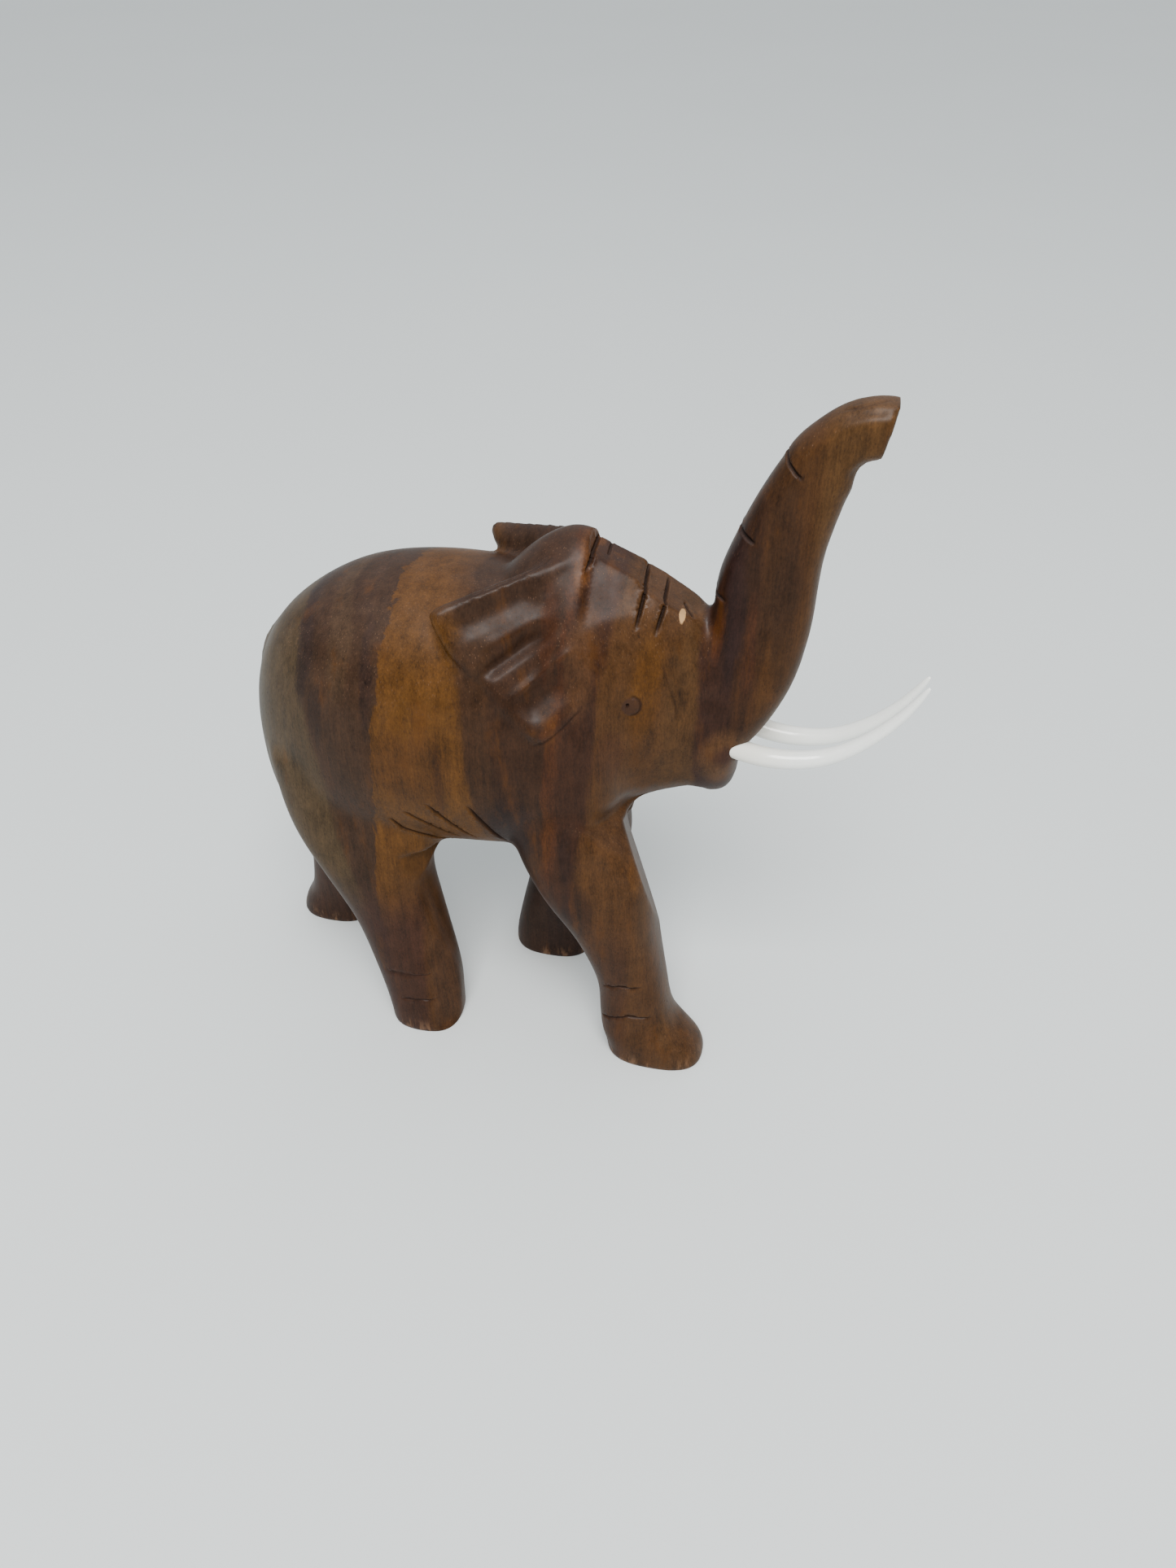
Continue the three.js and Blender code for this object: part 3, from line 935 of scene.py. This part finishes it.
def wood_material(colors):
    board = Board("waxed_timber")
    mm, x, y, z = table_point(board)
    facing = board.node("ShaderNodeNewGeometry", out="Normal")
    upward = Signal(board, board.node(
        "ShaderNodeSeparateXYZ", None, {0: facing}).socket.node.outputs["Z"])
    hollow = board.node("ShaderNodeAttribute", {"attribute_name": "cut"}, out="Fac")

    long_grain = board.vector("MULTIPLY", mm, (1, 1, 0.22))
    fibre = board.vector("MULTIPLY", mm, (1, 1, 0.07))
    wander = board.noise(long_grain, 0.05, 3, 0.55)
    rag = board.noise(long_grain, 0.34, 5, 0.72)
    along = x + (wander - 0.5) * 9 - y.at_least(0) * 0.16
    color = banded(board, rgba_of(colors.rump), x, along, z, wander, rag)

    # broad drift of value through the block, then finer streaks and rings
    streaks = board.noise(fibre, 0.55, 4, 0.6)
    threads = board.noise(fibre, 2.4, 3, 0.65)
    mottle = board.noise(mm, 0.16, 3, 0.6)
    grit = board.noise(board.vector("MULTIPLY", mm, (1, 1, 0.45)), 2.4, 4, 0.75)
    rings = board.node("ShaderNodeMath", {"operation": "SINE"}, {
        0: along * 2.1 + wander * 5})
    tone = (
        1 + (streaks - 0.5) * 1.2 + (threads - 0.5) * 0.9
        + (mottle - 0.5) * 0.9 + (grit - 0.5) * 1.5 + rings * 0.035)
    color = board.mix(1.0, color, tone_color(board, tone), "MULTIPLY")
    amber = board.step(board.noise(long_grain, 0.16, 5, 0.7), 0.54, 0.7)
    color = board.mix(amber * 0.4, color, lacquered((128, 84, 50)))

    # pores: long hollows up the grain, dots where they surface end on
    end_grain = board.step(upward, 0.05, 0.55)
    cells = board.node("ShaderNodeTexVoronoi", {"feature": "F1"}, {
        "Vector": board.vector("MULTIPLY", mm, (1, 1, 0.3)), "Scale": 1.9}, out="Distance")
    cell = Signal(board, cells.socket.node.outputs["Color"])
    chance = board.node("ShaderNodeSeparateColor", None, {0: cell})
    pores = board.step(cells, 0.1, 0.26, 1.0, 0.0) * board.step(chance, 0.0, 0.6)
    dark = pores * (1 - end_grain) * 0.28
    color = board.mix(dark * 1.3, color, rgba((30, 19, 15)))
    # pores on upward faces are painted lighter: dust in them and painted glints of the varnish
    pore_dust_and_glints = pores * end_grain * board.step(mottle, 0.35, 0.65, 0.12, 0.5)
    color = board.mix(pore_dust_and_glints, color, rgba((118, 86, 62)))

    # stain and painted shade held in the cuts, rubbed feet, and a painted grey sheen on the upper
    # faces
    color, bare = marked(board, color, mm, rag)
    # painted shade and stain: the wood darkens with the depth of the cuts and hollows
    color = board.mix(hollow * 0.85, color, rgba((26, 17, 14)))
    scuff = board.step(z, 0.4, 5.5, 1.0, 0.0) * board.step(rag, 0.5, 0.62)
    color = board.mix(scuff * 0.35, color, rgba((150, 112, 82)))
    # painted sheen: faces that point up are greyed, as if they mirrored the bright room
    painted_grey_sheen = board.step(upward, 0.3, 1.0) * 0.12
    color = board.mix(painted_grey_sheen, color, rgba((84, 72, 70)))

    gloss = 0.46 + (streaks - 0.5) * 0.2 + (mottle - 0.5) * 0.25 + pores * 0.2
    gloss = gloss + hollow * 0.3 + bare * 0.3
    varnish = board.step(mottle, 0.3, 0.7, 0.04, 0.2) * (1 - hollow)
    varnish = varnish * board.step(upward, -0.1, 0.6, 0.25, 1.0)
    swell = board.noise(mm, 1.1, 3, 0.6)
    height = threads * 0.35 + streaks * 0.3 - pores * 0.8 + swell * 0.35
    return board.finish(
        Base_Color=color, Roughness=gloss, Coat_Weight=varnish,
        Normal=board.bump(height, 0.35, 0.12 * MM),
        Coat_Roughness=0.3, Specular_IOR_Level=0.1)


def tone_color(board, tone):
    """The same number in all three channels, as a colour."""
    return board.node("ShaderNodeCombineColor", None, {0: tone, 1: tone, 2: tone})


def tusk_material(colors):
    board = Board("polished_tusk")
    mm, x, _y, _z = table_point(board)
    cloud = board.noise(mm, 0.35, 3, 0.6)
    speck = board.noise(mm, 2.2, 4, 0.7)
    aged = board.step(x, 62, 80, 0.55, 0.0)
    color = board.mix(aged, rgba_of(colors.tusk), rgba((226, 218, 200)))
    color = board.mix((cloud - 0.4).at_least(0) * 0.35, color, rgba((214, 212, 204)))
    dirt = board.step(speck, 0.62, 0.7) * board.step(x, 84, 98, 0.06, 0.5)
    color = board.mix(dirt, color, rgba((150, 146, 138)))
    gloss = 0.17 + (cloud - 0.5) * 0.12 + dirt * 0.3
    skin = board.bump(board.noise(mm, 0.8, 2, 0.5), 0.12, 0.15 * MM)
    return board.finish(
        Base_Color=color, Roughness=gloss, Normal=skin, Coat_Weight=0.5,
        Coat_Roughness=0.1)


def glue_material(colors):
    board = Board("hide_glue")
    spot = board.node("ShaderNodeTexCoord", out="Object")
    mm = board.vector("SCALE", spot, 1 / MM)
    cloud = board.noise(mm, 0.9, 3, 0.6)
    color = board.mix(cloud, rgba_of(colors.glue), rgba((84, 44, 24)))
    skin = board.bump(board.noise(mm, 1.6, 3, 0.6), 0.4, 0.1 * MM)
    return board.finish(Base_Color=color, Roughness=0.25 + cloud * 0.2, Normal=skin)


def paper_material(colors):
    board = Board("pale_backdrop")
    spot = board.node("ShaderNodeTexCoord", out="Object")
    cloud = board.noise(spot, 6, 3, 0.5)
    color = board.mix(cloud * 0.5, rgba_of(colors.floor), rgba((210, 214, 214)))
    return board.finish(Base_Color=color, Roughness=0.9, Specular_IOR_Level=0.2)


def rgba_of(color):
    return (*color[:3], 1.0)


# ---- stage ------------------------------------------------------------------
# Where the camera stands, in millimetres of the tables, and how it is turned
CAMERA_SPOT = (75, -220.7, 262.4)
CAMERA_TILT = math.radians(50)
CAMERA_TURN = math.radians(12)
CAMERA_LENS = 28.02
CAMERA_WIDTH = 36
# The stage, in metres
FLOOR_REACH = 12
SOFTBOX_SPOT = (0.12, -0.6, 1.05)
SOFTBOX_AIM = (0, 0, 0.08)
SOFTBOX_SIZE = 0.6
# Strength of the room's light at the horizon and overhead
HORIZON_LIGHT = 0.35
CEILING_LIGHT = 1.3


def build_camera():
    camera = bpy.data.cameras.new("viewpoint")
    camera.lens = CAMERA_LENS
    camera.sensor_width = CAMERA_WIDTH
    eye = bpy.data.objects.new("viewpoint", camera)
    eye.location = place(*CAMERA_SPOT)
    eye.rotation_euler = (CAMERA_TILT, 0, CAMERA_TURN)
    bpy.context.scene.collection.objects.link(eye)
    bpy.context.scene.camera = eye


def build_floor():
    bm = bmesh.new()
    bmesh.ops.create_grid(bm, x_segments=1, y_segments=1, size=FLOOR_REACH)
    floor = to_object(bm, "floor")
    return floor


def build_lights(power):
    """A diffusing ceiling, brighter overhead than at the horizon, and a softbox."""
    world = bpy.data.worlds.new("studio")
    bpy.context.scene.world = world
    world.use_nodes = True
    nodes, links = world.node_tree.nodes, world.node_tree.links
    back = nodes["Background"]
    back.inputs["Color"].default_value = (0.94, 0.98, 1, 1)
    where = nodes.new("ShaderNodeTexCoord")
    split = nodes.new("ShaderNodeSeparateXYZ")
    rise = nodes.new("ShaderNodeMapRange")
    rise.inputs["From Min"].default_value = -0.1
    rise.inputs["To Min"].default_value = HORIZON_LIGHT
    rise.inputs["To Max"].default_value = CEILING_LIGHT
    links.new(where.outputs["Generated"], split.inputs[0])
    links.new(split.outputs["Z"], rise.inputs["Value"])
    links.new(rise.outputs[0], back.inputs["Strength"])

    lamp = bpy.data.lights.new("softbox", "AREA")
    lamp.size = SOFTBOX_SIZE
    lamp.energy = power
    lamp.color = (1, 0.99, 0.97)
    box = bpy.data.objects.new("softbox", lamp)
    box.location = SOFTBOX_SPOT
    aim = Vector(SOFTBOX_AIM) - box.location
    box.rotation_euler = aim.to_track_quat("-Z", "Y").to_euler()
    bpy.context.scene.collection.objects.link(box)


# ---- settings ---------------------------------------------------------------
def tint(name, description, color):
    return FloatVectorProperty(
        name=name, description=description, subtype="COLOR", size=3,
        min=0, max=1, default=color[:3])


class CarvingSizes(PropertyGroup):
    coarse: FloatProperty(
        name="First skin", description="Grain of the skin round the limbs",
        default=0.85 * MM, min=0.4 * MM, unit="LENGTH", precision=5)
    fine: FloatProperty(
        name="Carved skin", description="Grain of the skin that takes the carving",
        default=0.88 * MM, min=0.4 * MM, unit="LENGTH", precision=5)
    sanding: IntProperty(
        name="Sanding", description="Rounds of sanding before the ears are laid on",
        default=11, min=0, max=40)
    tusk: FloatProperty(
        name="Tusk radius", description="Radius of a tusk where it leaves the wood",
        default=2.4 * MM, min=1 * MM, max=3 * MM, unit="LENGTH", precision=5)
    lamp: FloatProperty(
        name="Softbox", description="Power of the softbox over the carving",
        default=19, min=0, unit="POWER")


class CarvingColors(PropertyGroup):
    rump: tint("Rump", "Olive timber at the tail end", lacquered((110, 99, 82)))
    tusk: tint("Tusk", "White of the polished tusks", rgba((247, 248, 243)))
    glue: tint("Glue", "Dried glue round the tusks", rgba((150, 92, 44)))
    floor: tint("Backdrop", "Plain floor under the carving", rgba((218, 222, 222)))


# ---- operators --------------------------------------------------------------
class CARVING_OT_set_stage(Operator):
    """Lays the floor, hangs the softbox and sets up the camera"""
    bl_idname = "carving.set_stage"
    bl_label = "Set the stage"

    def execute(self, context):
        build_camera()
        build_lights(context.scene.carving_sizes.lamp)
        floor = build_floor()
        floor.data.materials.append(paper_material(context.scene.carving_colors))
        return {"FINISHED"}


class CARVING_OT_carve_body(Operator):
    """Carves the body, with its sockets, from one block"""
    bl_idname = "carving.carve_body"
    bl_label = "Carve the body"

    def execute(self, context):
        sizes = context.scene.carving_sizes
        body = build_body(sizes)
        drill(body, sizes.tusk / MM)
        if not body.data.polygons:
            raise RuntimeError("the carved body came out empty")
        body.data.shade_smooth()
        body.data.materials.clear()
        body.data.materials.append(wood_material(context.scene.carving_colors))
        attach(body, "root")
        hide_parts("carved_body")
        return {"FINISHED"}


class CARVING_OT_set_tusks(Operator):
    """Turns the two tusks and stands them in their sockets"""
    bl_idname = "carving.set_tusks"
    bl_label = "Set the tusks"

    def execute(self, context):
        full = context.scene.carving_sizes.tusk / MM
        polish = tusk_material(context.scene.carving_colors)
        for name, side in (("right", -1), ("left", 1)):
            tusk = build_tusk("tusk_" + name + "_peg", side, full)
            tusk.data.materials.append(polish)
            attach(tusk, "root")
            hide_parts("tusk_" + name)
        return {"FINISHED"}


class CARVING_OT_color_glue(Operator):
    """Gives the glue at the foot of each socket its amber finish"""
    bl_idname = "carving.color_glue"
    bl_label = "Colour the glue"

    def execute(self, context):
        amber = glue_material(context.scene.carving_colors)
        for name in ("glue_right", "glue_left"):
            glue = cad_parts[name]
            if not glue.material_slots:
                raise RuntimeError(name + " has no slot for its finish")
            for slot in glue.material_slots:
                slot.material = amber
        return {"FINISHED"}


class CARVING_PT_elephant(Panel):
    """Shows the carving's sizes and colours and a button for each step"""
    bl_idname = "CARVING_PT_elephant"
    bl_label = "Carved elephant"
    bl_space_type = "VIEW_3D"
    bl_region_type = "UI"
    bl_category = "Carving"

    def draw(self, context):
        for group in (context.scene.carving_sizes, context.scene.carving_colors):
            box = self.layout.box()
            for key in group.__annotations__:
                box.prop(group, key)
        for kind in OPERATORS:
            self.layout.operator(kind.bl_idname)


OPERATORS = (
    CARVING_OT_set_stage, CARVING_OT_carve_body,
    CARVING_OT_set_tusks, CARVING_OT_color_glue,
)
CLASSES = (CarvingSizes, CarvingColors, *OPERATORS, CARVING_PT_elephant)


def register():
    for kind in CLASSES:
        bpy.utils.register_class(kind)
    bpy.types.Scene.carving_sizes = PointerProperty(type=CarvingSizes)
    bpy.types.Scene.carving_colors = PointerProperty(type=CarvingColors)


def unregister():
    del bpy.types.Scene.carving_colors
    del bpy.types.Scene.carving_sizes
    for kind in reversed(CLASSES):
        bpy.utils.unregister_class(kind)


def main():
    register()
    bpy.ops.carving.set_stage()
    bpy.ops.carving.carve_body()
    bpy.ops.carving.set_tusks()
    bpy.ops.carving.color_glue()


if __name__ == "__main__":
    main()
